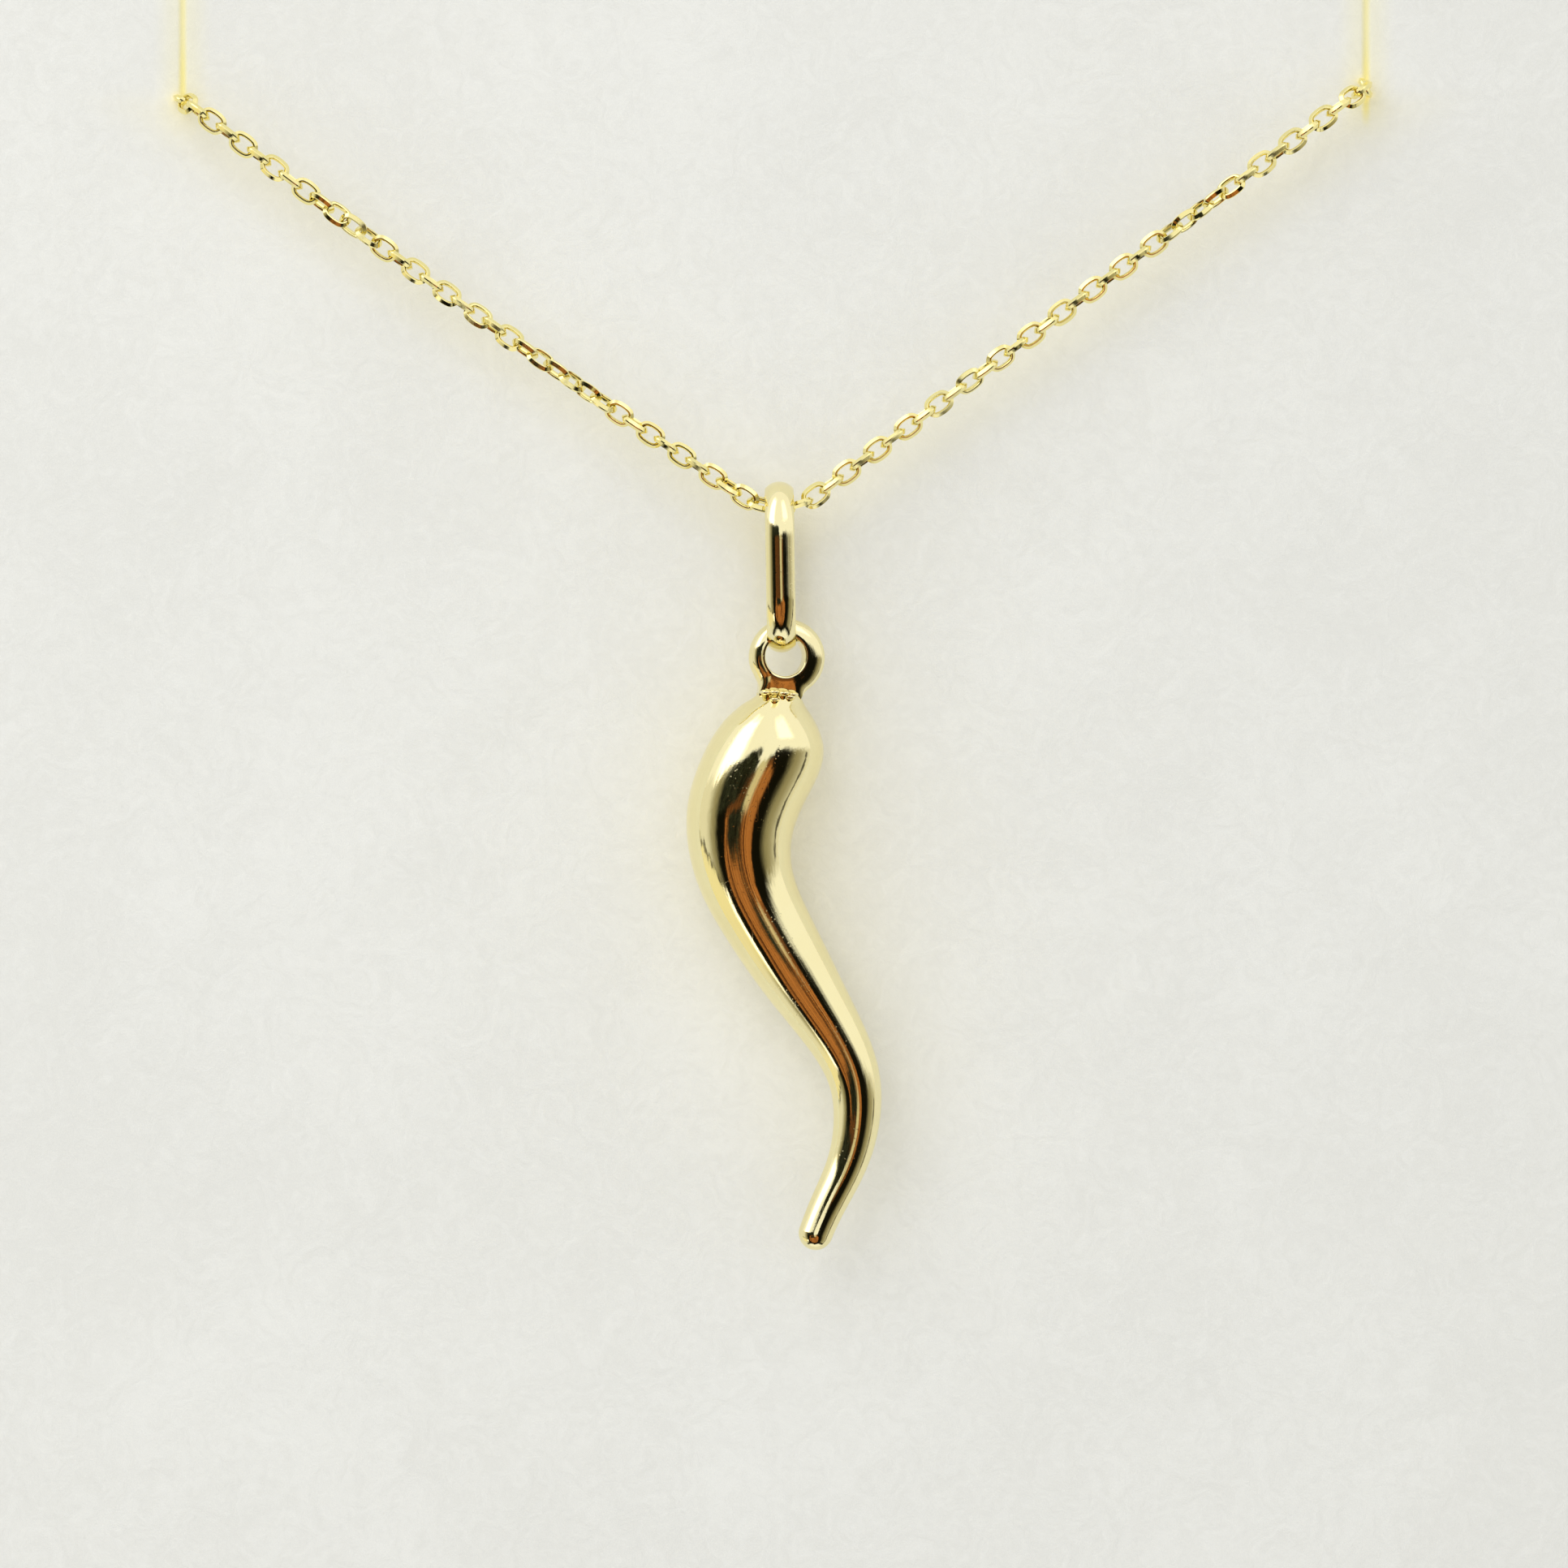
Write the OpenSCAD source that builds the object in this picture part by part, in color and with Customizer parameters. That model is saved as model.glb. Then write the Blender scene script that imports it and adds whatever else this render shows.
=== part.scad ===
// Horn pendant necklace hung on its flocked display card.
// Millimetres. Z is up, the card's front faces -Y, and the origin is the middle of the card's top edge.

/* [Card] */
// Width of the display card
card_w = 105; // [90:1:130]
// Height of the display card
card_h = 180; // [178:1:220]
// Thickness of the card with its flock
card_t = 3; // [2:0.1:4]
// Radius of the card's corners
card_corner = 3; // [1:0.5:8]

/* [Slits] */
// Distance between the two slits that the chain hangs from
slit_span = 58.3; // [50:0.1:66]
// Width of each slit
slit_w = 0.5; // [0.3:0.05:0.8]
// Height of the chain in the left slit, below the card's top edge
left_drop = 13.2; // [10:0.1:16]
// Height of the chain in the right slit, below the card's top edge
right_drop = 12.4; // [10:0.1:16]
// How far each slit is cut on below the chain
slit_foot = 2.2; // [1:0.1:4]
// Play round the chain where it has opened the slit
slit_play = 0.15; // [0.1:0.05:0.3]

/* [Chain] */
// Length of the whole chain with its clasp, once round
chain_len = 406; // [396:1:416]
// Distance from one link to the next
link_pitch = 0.945; // [0.9:0.005:1]
// Width of a link
link_w = 1.11; // [1.05:0.01:1.16]
// Thickness of a link's wire
link_wire = 0.235; // [0.22:0.005:0.25]
// Play between two links
link_play = 0.19; // [0.18:0.005:0.21]
// How far the chain stands off the card where it turns into a slit
chain_stand = 2; // [1.8:0.05:2.4]
// Height of the chain inside the bail, below the card's top edge
chain_drop = 33; // [28:0.1:36]
// How far the pendant hangs to the right of the card's middle
hang_side = 0.3; // [-1:0.1:1]

/* [Clasp] */
// Outer diameter of the clasp's ring
clasp_d = 5; // [4:0.1:7]
// Thickness of the clasp's ring
clasp_wire = 0.9; // [0.7:0.1:1.1]
// Gap between the clasp and the chain at each side of it
clasp_gap = 0.4; // [0.35:0.05:0.6]

/* [Bail] */
// Outer height of the bail
bail_h = 8.3; // [7:0.1:10]
// Outer depth of the bail, front to back
bail_d = 4.6; // [4:0.1:5]
// Width of the bail's oval wire
bail_w = 1.44; // [1.2:0.02:1.5]
// Thickness of the bail's oval wire
bail_t = 0.6; // [0.5:0.02:0.7]
// Play between the bail and the chain
bail_play = 0.12; // [0.1:0.01:0.2]
// Turn of the bail about the upright line
bail_turn = 2; // [0:0.5:4]

/* [Horn] */
// Length of the horn from its neck to its tip
horn_len = 27.5; // [24:0.1:32]
// Greatest width of the horn across its own line
horn_w = 5.52; // [4.8:0.02:6.2]
// Greatest depth of the horn
horn_d = 5.2; // [4.6:0.1:5.8]
// How far the horn's centre line sways from side to side
horn_sway = 5.8; // [4:0.1:7]
// Gap between the horn and the card
horn_gap = 0.25; // [0.15:0.05:0.6]
// Outer diameter of the loop at the top of the horn
loop_d = 3.75; // [3.6:0.05:4]
// Width of the loop's rim round its hole
loop_rim = 0.82; // [0.74:0.02:0.86]
// Depth of the loop, front to back
loop_depth = 1; // [0.8:0.05:1.2]
// Play between the loop and the bail
loop_play = 0.12; // [0.11:0.01:0.14]
// Length of the neck between the loop's hole and the horn
neck_len = 0.92; // [0.8:0.02:1.2]

/* [Hidden] */
$fn = 48;
gold = "#d9b860";
flock = "#e9e8e2";

// Twist of the chain along each strand: share of the strand from the bail, degrees
LEFT_TWIST = [[0, 20], [0.08, 45], [0.3, 45], [0.42, 90], [1, 90]];
RIGHT_TWIST = [[0, 0], [0.4, 0], [0.5, 45], [0.8, 45], [0.9, 90], [1, 90]];

// Sections down the horn: share of the length, of the sway and of the greatest width, degrees of tilt
HORN_ROWS = [
    [0.000, 0.00, 0.380, 0],
    [0.018, -0.05, 0.570, 3],
    [0.039, -0.08, 0.780, 4],
    [0.072, -0.10, 0.970, 5],
    [0.112, -0.16, 1.020, 14],
    [0.165, -0.27, 1.000, 21],
    [0.231, -0.35, 0.970, 6],
    [0.296, -0.33, 0.890, -10],
    [0.384, -0.18, 0.770, -25],
    [0.493, 0.12, 0.700, -31],
    [0.603, 0.45, 0.525, -31],
    [0.691, 0.63, 0.465, -13],
    [0.756, 0.65, 0.425, 3],
    [0.844, 0.56, 0.350, 20],
    [0.931, 0.36, 0.320, 30],
    [0.971, 0.24, 0.290, 34]
];
horn_steps = 2;
horn_sides = 24;
tip_steps = 4;
tip_end = 84;
eye_steps = 10;
eye_start = 7;
eye_end = 122;
neck_steps = 3;
bend_steps = 6;
link_ends = 5;
link_sides = 6;
link_square = 0.8;
middle_roll = 10;
back_rings = 32;
back_sides = 8;
back_ease = 1.3;
oval_sides = 20;

// Places that follow from the sizes above
pendant_y = -(horn_d / 2 + horn_gap);
bail_place = [hang_side, pendant_y, -chain_drop];
bail_inside = link_w / 2 + bail_play;
bail_mid = bail_inside + bail_t - bail_h / 2;
bail_bottom = -chain_drop + bail_mid - bail_h / 2 + bail_t / 2;
loop_hole = loop_d / 2 - loop_rim;
loop_free = loop_hole - loop_play;
bail_curve = bail_d / 2 - bail_t;
bail_rise = bail_curve - sqrt(bail_curve ^ 2 - (loop_depth / 2) ^ 2);
loop_drop = sqrt((loop_free ^ 2 - (bail_w / 2) ^ 2) * (bail_w ^ 2 - bail_t ^ 2)) / bail_w - bail_rise;
loop_z = bail_bottom - loop_drop;
horn_top = loop_z - loop_hole - neck_len;
notch_d = link_w + 2 * slit_play;
back_y = card_t + horn_gap + link_w / 2 + slit_play;
back_bend = 0.8;
left_x = -slit_span / 2;
right_x = slit_span / 2;

// Direction of a vector
function unit(v) = v / norm(v);

// Corner at p between a and b, turned as an arc that starts r before it and ends r past it
function turned(a, p, b, r) =
    let (ahead = unit(p - a), after = unit(b - p), angle = acos(ahead * after),
        radius = r / tan(angle / 2), inward = unit(after - (after * ahead) * ahead),
        start = p - r * ahead)
    [for (i = [0 : bend_steps]) let (t = angle * i / bend_steps)
        start + radius * (sin(t) * ahead + (1 - cos(t)) * inward)];

// Share along the segment a to b at which it is r away from c
function reach(c, a, b, r) = let (d = b - a, f = a - c, q = f * d)
    (sqrt(q ^ 2 - (d * d) * (f * f - r ^ 2)) - q) / (d * d);

// Points one pitch apart along a path, from the point c on
function joints(p, i, c) = i > len(p) - 2 ? []
    : norm(p[i + 1] - c) < link_pitch ? joints(p, i + 1, c)
    : let (q = p[i] + reach(c, p[i], p[i + 1], link_pitch) * (p[i + 1] - p[i])) concat([q], joints(p, i, q));

// Path of one strand, from the bail up to its slit and through the card, rising at half its slope at first
function strand(x, drop, start) =
    let (mouth = [x, -chain_stand, -drop], out = [x, card_t - link_pitch / 2, -drop],
        level = [sign(x), 0, 0], first = start + link_pitch * unit(unit(mouth - start) + level))
    concat([start, first], turned(first, mouth, out, chain_stand), [out]);

// Where the links of each strand hook into each other, counted from the bail
half_link = [link_pitch / 2, 0, 0];
left_path = strand(left_x, left_drop, bail_place - half_link);
right_path = strand(right_x, right_drop, bail_place + half_link);
left_hooks = concat([left_path[0]], joints(left_path, 0, left_path[0]));
right_hooks = concat([right_path[0]], joints(right_path, 0, right_path[0]));

// Upright side of each strand's links: square to the strand and to the card's depth
function upright(path) = let (d = unit(path[2] - path[1])) unit(cross(d, [0, sign(d[0]), 0]));

// Chain behind the card: a catenary from each slit to the clasp, whose spread solves sinh(u) / u = ratio
function sinh(u) = (exp(u) - exp(-u)) / 2;
function asinh(u) = ln(u + sqrt(u ^ 2 + 1));
function spread(ratio, low, high, n) = let (u = (low + high) / 2)
    n == 0 ? u : sinh(u) / u < ratio ? spread(ratio, u, high, n - 1) : spread(ratio, low, u, n - 1);
front_len = link_pitch * (len(left_hooks) + len(right_hooks) - 1);
back_len = chain_len - front_len;
sag = slit_span / 2 / spread(back_len / slit_span, 0.1, 20, 30);

// One hanging side, from its slit down to the clasp
hold = clasp_d / 2 + clasp_gap;
function hanging(x, drop, extra) = let (half = back_len / 2 + extra, full = asinh(half / sag))
    [for (i = [0 : back_rings]) let (s = half + (hold - half) * (1 - (1 - i / back_rings) ^ back_ease))
        [x * asinh(s / sag) / full, back_y, -drop - (sqrt(half ^ 2 + sag ^ 2) - sqrt(s ^ 2 + sag ^ 2))]];
uneven = (right_drop - left_drop) / 2;
clasp_z = hanging(left_x, left_drop, uneven)[back_rings][2];

// Oval section of the bail's wire
module oval() {
    polygon([for (i = [0 : oval_sides - 1]) let (a = 360 * i / oval_sides)
        [bail_t / 2 * cos(a), bail_w / 2 * sin(a)]]);
}

// Faces of a closed tube of rings
function tube_faces(rings, sides) = concat(
    [[for (k = [0 : sides - 1]) k]],
    [[for (k = [sides - 1 : -1 : 0]) (rings - 1) * sides + k]],
    [for (i = [0 : rings - 2], k = [0 : sides - 1], half = [0, 1])
        let (a = i * sides + k, b = i * sides + (k + 1) % sides)
        half == 0 ? [a, a + sides, b] : [b, a + sides, b + sides]]);

// Faces of an endless ring of rings
function ring_faces(rings, sides) = [for (i = [0 : rings - 1], k = [0 : sides - 1], half = [0, 1])
    let (j = (i + 1) % rings, l = (k + 1) % sides)
    half == 0 ? [i * sides + k, j * sides + k, i * sides + l] : [i * sides + l, j * sides + k, j * sides + l]];

// Cosine or sine drawn out towards the corners, for a link's rather square ends
function squared(v) = abs(v) < 0.001 ? 0 : sign(v) * abs(v) ^ link_square;

// One link of the chain from hook a to hook b, turned by roll about its own length from the upright side
module link(a, b, roll, side) {
    d = unit(b - a);
    out = unit(cross(d, side));
    up = cross(out, d);
    wide = cos(roll) * up + sin(roll) * out;
    flat = cross(d, wide);
    bend = (link_w - link_wire) / 2;
    straight = (link_pitch + link_wire + link_play) / 2 - bend;
    points = [for (end = [1, -1], i = [0 : link_ends - 1], k = [0 : link_sides - 1])
        let (turn = 180 * i / (link_ends - 1) - 90 * end, face = 360 * (k + 0.5) / link_sides,
            r = bend + link_wire / 2 * cos(face))
        (a + b) / 2 + d * (end * straight + r * squared(cos(turn))) + wide * r * squared(sin(turn))
            + flat * link_wire / 2 * sin(face)];
    polyhedron(points, ring_faces(2 * link_ends, link_sides));
}

// Smooth value between the rows of a table, column c, at row position t
function between(rows, c, t) =
    let (n = len(rows) - 1, i = min(floor(t), n - 1), f = t - i,
        p0 = rows[max(i - 1, 0)][c], p1 = rows[i][c], p2 = rows[i + 1][c], p3 = rows[min(i + 2, n)][c])
    p1 + f / 2 * (p2 - p0 + f * (2 * p0 - 5 * p1 + 4 * p2 - p3 + f * (3 * (p1 - p2) + p3 - p0)));

// Ring of the horn: its middle's sideways place and height, half width, half depth and tilt
function horn_ring(x, z, half_w, half_d, tilt) = [for (k = [0 : horn_sides - 1])
    let (a = 360 * k / horn_sides)
    [hang_side + x + half_w * cos(a) * cos(tilt), pendant_y + half_d * sin(a), z - half_w * cos(a) * sin(tilt)]];

module horn() {
    last = HORN_ROWS[len(HORN_ROWS) - 1];
    neck_half = horn_w / 2 * HORN_ROWS[0][2];
    eye = [for (i = [0 : eye_steps]) let (a = eye_start + (eye_end - eye_start) * i / eye_steps)
        horn_ring(0, loop_z + loop_d / 2 * cos(a), loop_d / 2 * sin(a), loop_depth / 2 * sqrt(sin(a)), 0)];
    eye_low = loop_z + loop_d / 2 * cos(eye_end);
    neck = [for (i = [1 : neck_steps]) let (t = i / (neck_steps + 1))
        horn_ring(horn_sway * HORN_ROWS[0][1] * t, eye_low + (horn_top - eye_low) * t,
            loop_d / 2 * sin(eye_end) * (1 - t) + neck_half * t,
            loop_depth / 2 * (1 - t) + neck_half * t, 0)];
    body = [for (i = [0 : horn_steps * (len(HORN_ROWS) - 1)]) let (t = i / horn_steps)
        horn_ring(horn_sway * between(HORN_ROWS, 1, t), horn_top - horn_len * between(HORN_ROWS, 0, t),
            horn_w / 2 * between(HORN_ROWS, 2, t), horn_d / 2 * between(HORN_ROWS, 2, t),
            between(HORN_ROWS, 3, t))];
    tip_r = horn_w / 2 * last[2];
    tip = [for (i = [1 : tip_steps]) let (a = tip_end * i / tip_steps)
        horn_ring(horn_sway * last[1] - tip_r * sin(a) * sin(last[3]),
            horn_top - horn_len * last[0] - tip_r * sin(a) * cos(last[3]),
            tip_r * cos(a), horn_d / 2 * last[2] * cos(a), last[3])];
    rings = concat(eye, neck, body, tip);
    color(gold) difference() {
        polyhedron([for (r = rings) each r], tube_faces(len(rings), horn_sides));
        translate([hang_side, pendant_y, loop_z]) rotate([90, 0, 0])
            cylinder(r = loop_hole, h = 2 * loop_depth, center = true);
    }
}

module bail() {
    bend = (bail_d - bail_t) / 2;
    straight = bail_h - bail_d;
    color(gold) translate(bail_place + [0, 0, bail_mid]) rotate([0, 0, -bail_turn]) rotate([0, 90, 0])
        for (end = [0, 180]) rotate([0, 0, end]) {
            translate([straight / 2, 0, 0]) rotate([0, 0, -90])
                rotate_extrude(angle = 180) translate([bend, 0]) oval();
            translate([-straight / 2, bend, 0]) rotate([0, 90, 0]) rotate([0, 0, 90])
                linear_extrude(straight) oval();
        }
}

module chain_front() {
    left_count = len(left_hooks) - 1;
    right_count = len(right_hooks) - 1;
    color(gold) {
        link(left_hooks[0], right_hooks[0], middle_roll, [0, 0, 1]);
        for (i = [1 : left_count])
            link(left_hooks[i], left_hooks[i - 1], 90 * (i % 2) + lookup(i / left_count, LEFT_TWIST),
                upright(left_path));
        for (i = [1 : right_count])
            link(right_hooks[i - 1], right_hooks[i], 90 * (i % 2) + lookup(i / right_count, RIGHT_TWIST),
                upright(right_path));
    }
}

// Tube of the chain's outer size from its last hook in the card, out at the back and down
module chain_tube(last_hook, side_points) {
    start = last_hook + [0, link_wire + 1.5 * link_play, 0];
    low = [for (i = [1 : back_rings]) side_points[i]];
    points = concat([start], turned(start, side_points[0], side_points[1], back_bend), low);
    n = len(points) - 1;
    rings = [for (i = [0 : n])
        let (d = unit(points[min(i + 1, n)] - points[max(i - 1, 0)]), across = cross(d, [0, 1, 0]),
            side = norm(across) < 0.001 ? [1, 0, 0] : unit(across), up = cross(side, d))
        for (k = [0 : back_sides - 1]) let (a = 360 * k / back_sides)
        points[i] + link_w / 2 * (cos(a) * side + sin(a) * up)];
    polyhedron(rings, tube_faces(n + 1, back_sides));
}

module chain_back() {
    color(gold) {
        chain_tube(left_hooks[len(left_hooks) - 1], hanging(left_x, left_drop, uneven));
        chain_tube(right_hooks[len(right_hooks) - 1], hanging(right_x, right_drop, -uneven));
    }
}

module clasp() {
    color(gold) translate([0, back_y, clasp_z]) rotate([90, 0, 0])
        rotate_extrude() translate([(clasp_d - clasp_wire) / 2, 0]) circle(d = clasp_wire);
}

// Slit and the notch that the chain has opened in it, cut through the card
module slit(x, drop) {
    translate([x, card_t / 2, 0]) {
        translate([0, 0, -(drop + slit_foot) / 2]) cube([slit_w, 2 * card_t, drop + slit_foot + 0.001], true);
        translate([0, 0, -drop]) rotate([90, 0, 0]) cylinder(d = notch_d, h = 2 * card_t, center = true);
    }
}

module card() {
    color(flock) difference() {
        translate([0, card_t, -card_h / 2]) rotate([90, 0, 0]) linear_extrude(card_t) {
            square([card_w - 2 * card_corner, card_h], true);
            square([card_w, card_h - 2 * card_corner], true);
            for (x = [-1, 1], y = [-1, 1])
                translate([x * (card_w / 2 - card_corner), y * (card_h / 2 - card_corner)]) circle(card_corner);
        }
        slit(left_x, left_drop);
        slit(right_x, right_drop);
    }
}

card();
chain_front();
chain_back();
clasp();
bail();
horn();
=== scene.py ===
import math
import bmesh
import bpy
import numpy as np
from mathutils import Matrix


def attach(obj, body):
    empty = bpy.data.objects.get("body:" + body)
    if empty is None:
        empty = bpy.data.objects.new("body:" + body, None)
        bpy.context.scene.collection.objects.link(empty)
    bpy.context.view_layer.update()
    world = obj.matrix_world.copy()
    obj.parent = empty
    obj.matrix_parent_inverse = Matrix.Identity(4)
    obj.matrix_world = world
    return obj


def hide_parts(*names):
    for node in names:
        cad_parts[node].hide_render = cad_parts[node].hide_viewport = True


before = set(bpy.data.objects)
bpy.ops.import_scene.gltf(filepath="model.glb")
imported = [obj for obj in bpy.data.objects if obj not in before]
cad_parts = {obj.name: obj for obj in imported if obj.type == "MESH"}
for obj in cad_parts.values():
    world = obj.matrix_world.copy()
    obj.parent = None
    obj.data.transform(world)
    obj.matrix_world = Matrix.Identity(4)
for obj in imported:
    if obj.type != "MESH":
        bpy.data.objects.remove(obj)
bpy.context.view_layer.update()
scene = bpy.context.scene

# Camera: a long lens square on to the card, as a jeweller's picture is taken. It shows 77.28 mm
# of the card's width, level with the pendant.
camera_data = bpy.data.cameras.new("camera")
camera = bpy.data.objects.new("camera", camera_data)
scene.collection.objects.link(camera)
view_width = 0.07728
view_distance = 0.7
pendant_plane = -0.0022
camera_data.sensor_width = 36.0
camera_data.lens = camera_data.sensor_width * view_distance / view_width
camera_data.clip_start = 0.01
camera_data.clip_end = 20.0
camera.location = (0.00048, pendant_plane - view_distance, -0.04664)
camera.rotation_euler = (math.radians(90), 0, 0)
scene.camera = camera

# Studio: an even pale room with one large soft lamp high on the left, and a pale floor under the
# card. The colours come out as they are, with no film look.
scene.view_settings.view_transform = "Standard"


def add_node(tree, kind, inputs=None, **settings):
    """New node of a kind with its settings; inputs holds values or the sockets that feed it."""
    made = tree.nodes.new(kind)
    for name, value in settings.items():
        setattr(made, name, value)
    for socket, value in (inputs or {}).items():
        if isinstance(value, bpy.types.NodeSocket):
            tree.links.new(value, made.inputs[socket])
        else:
            made.inputs[socket].default_value = value
    return made


def calc(tree, operation, *values):
    """Output of a Math node that works out one operation on the values."""
    return add_node(tree, "ShaderNodeMath", dict(enumerate(values)), operation=operation).outputs[0]


def ramp(tree, value, low, high, smooth=True):
    """Share from 0 to 1 as value goes from low to high."""
    kind = "SMOOTHSTEP" if smooth else "LINEAR"
    return add_node(tree, "ShaderNodeMapRange", {0: value, 1: low, 2: high},
                    interpolation_type=kind).outputs[0]


def blend_colours(tree, share, first, second):
    """Mix of two colours or colour sockets by a share."""
    made = tree.nodes.new("ShaderNodeMix")
    made.data_type = "RGBA"
    for socket, value in ((0, share), (6, first), (7, second)):
        if isinstance(value, bpy.types.NodeSocket):
            tree.links.new(value, made.inputs[socket])
        else:
            made.inputs[socket].default_value = value
    return made.outputs[2]


world = bpy.data.worlds.new("studio")
scene.world = world
world.use_nodes = True
sky = world.node_tree.nodes["Background"]
sky.inputs["Color"].default_value = (0.99, 1.0, 0.99, 1)
sky.inputs["Strength"].default_value = 0.82

lamp_data = bpy.data.lights.new("soft_lamp", "AREA")
lamp_data.shape = "RECTANGLE"
lamp_data.size, lamp_data.size_y = 0.32, 0.28
lamp_data.energy = 0.37
lamp_data.color = (1.0, 0.995, 0.97)
lamp = bpy.data.objects.new("soft_lamp", lamp_data)
scene.collection.objects.link(lamp)
lamp.location = (-0.17, -0.22, 0.16)
lamp.rotation_euler = (math.radians(53), 0, math.radians(-38))
lamp.visible_glossy = False

floor_mesh = bpy.data.meshes.new("floor")
floor_half, floor_z = 3.0, -0.1805
floor_mesh.from_pydata([(-floor_half, -floor_half, floor_z), (floor_half, -floor_half, floor_z),
                        (floor_half, floor_half, floor_z), (-floor_half, floor_half, floor_z)],
                       [], [(0, 1, 2, 3)])
floor = bpy.data.objects.new("floor", floor_mesh)
scene.collection.objects.link(floor)
floor.visible_glossy = False
floor_paint = bpy.data.materials.new("floor_paint")
floor_paint.use_nodes = True
matt = floor_paint.node_tree.nodes["Principled BSDF"]
matt.inputs["Base Color"].default_value = (0.82, 0.81, 0.79, 1)
matt.inputs["Roughness"].default_value = 0.9
floor_mesh.materials.append(floor_paint)

# What the polished gold mirrors: a white tent all round, open in front on a dark room with a
# brown wooden wall. Only reflections see it. Turn is the angle to the right of straight ahead and
# rise the angle above level, both in degrees.
bpy.ops.mesh.primitive_uv_sphere_add(segments=48, ring_count=24, radius=2.5, location=(0, 0, -0.055))
tent = bpy.context.object
tent.name = "tent"
tent.visible_camera = False
tent.visible_diffuse = False
tent.visible_shadow = False
tent.visible_transmission = False
tent.visible_volume_scatter = False
tent_light = bpy.data.materials.new("tent_light")
tent_light.use_nodes = True
tree = tent_light.node_tree
tree.nodes.clear()
place = add_node(tree, "ShaderNodeTexCoord").outputs["Object"]
toward = add_node(tree, "ShaderNodeVectorMath", {0: place}, operation="NORMALIZE").outputs[0]
split = add_node(tree, "ShaderNodeSeparateXYZ", {0: toward}).outputs
turn = calc(tree, "DEGREES", calc(tree, "ARCTAN2", split[0], calc(tree, "MULTIPLY", split[1], -1.0)))
rise = calc(tree, "DEGREES", calc(tree, "ARCSINE", split[2]))
ragged = add_node(tree, "ShaderNodeTexNoise", {"Vector": toward, "Scale": 14.0, "Detail": 5.0}).outputs[0]
ragged = calc(tree, "SUBTRACT", ragged, 0.5)
fleck = add_node(tree, "ShaderNodeTexNoise", {"Vector": toward, "Scale": 55.0, "Detail": 3.0}).outputs[0]
grain_at = add_node(tree, "ShaderNodeCombineXYZ", {0: calc(tree, "MULTIPLY", turn, 0.42),
                                                    1: calc(tree, "MULTIPLY", rise, 0.02)}).outputs[0]
grain = add_node(tree, "ShaderNodeTexNoise", {"Vector": grain_at, "Scale": 1.0, "Detail": 3.0}).outputs[0]
turn = calc(tree, "ADD", turn, calc(tree, "MULTIPLY", ragged, 8.0))
rise = calc(tree, "ADD", rise, calc(tree, "MULTIPLY", ragged, 12.0))


def band(tree, value, start, full, fade, end):
    """Share that goes from 0 at start to 1 at full, and from 1 at fade to 0 at end."""
    return calc(tree, "MULTIPLY", ramp(tree, value, start, full), ramp(tree, value, end, fade))


white = (2.3, 2.2, 2.1, 1)
pale = (1.0, 0.99, 0.97, 1)
cream = (0.80, 0.78, 0.70, 1)
black = (0.006, 0.0055, 0.003, 1)
green = (0.06, 0.07, 0.045, 1)
brown = (0.50, 0.19, 0.055, 1)
umber = (0.08, 0.028, 0.01, 1)
olive = (0.30, 0.27, 0.17, 1)
straw = (0.92, 0.84, 0.56, 1)
glare = (2.5, 2.35, 1.95, 1)
# The wooden wall, which widens and then narrows downwards
narrows = ramp(tree, rise, -32.0, -60.0)
right_edge = calc(tree, "ADD", 18.0, calc(tree, "MULTIPLY", ramp(tree, rise, -3.0, -14.0), 9.0))
right_edge = calc(tree, "SUBTRACT", right_edge, calc(tree, "MULTIPLY", narrows, 14.0))
left_edge = calc(tree, "ADD", 31.0, calc(tree, "MULTIPLY", ramp(tree, rise, -5.0, -28.0), 6.0))
left_edge = calc(tree, "SUBTRACT", left_edge, calc(tree, "MULTIPLY", narrows, 24.0))
wall = calc(tree, "MULTIPLY", ramp(tree, calc(tree, "SUBTRACT", right_edge, turn), -1.0, 1.5),
            ramp(tree, calc(tree, "ADD", left_edge, turn), -1.0, 1.5))
wall = calc(tree, "MULTIPLY", wall, band(tree, rise, -58.0, -44.0, -1.0, 4.0))
leafy = calc(tree, "MULTIPLY", band(tree, turn, -27.0, -24.0, -2.0, 4.0),
             band(tree, rise, -17.0, -13.0, -4.0, -1.0))
leafy_top = calc(tree, "MULTIPLY", ramp(tree, rise, -1.0, 2.0), ramp(tree, turn, 3.0, -3.0))
leafy = calc(tree, "MAXIMUM", leafy, leafy_top)
wood = blend_colours(tree, ramp(tree, grain, 0.47, 0.60), brown, umber)
wood = blend_colours(tree, ramp(tree, fleck, 0.63, 0.67), wood, umber)
wood = blend_colours(tree, calc(tree, "MULTIPLY", ramp(tree, rise, -6.0, -2.0), 0.75), wood, umber)
room = blend_colours(tree, wall, black, wood)
# Leaves in front of the wall, and paler cloth to both sides of the room
leaves = blend_colours(tree, ramp(tree, fleck, 0.50, 0.62), black, green)
room = blend_colours(tree, leafy, room, leaves)
for start, full, shade in ((42.0, 62.0, olive), (60.0, 98.0, cream),
                           (-46.0, -58.0, olive), (-56.0, -78.0, cream)):
    aside = calc(tree, "MULTIPLY", ramp(tree, turn, start, full), ramp(tree, rise, -51.0, -45.0))
    room = blend_colours(tree, aside, room, shade)
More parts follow.
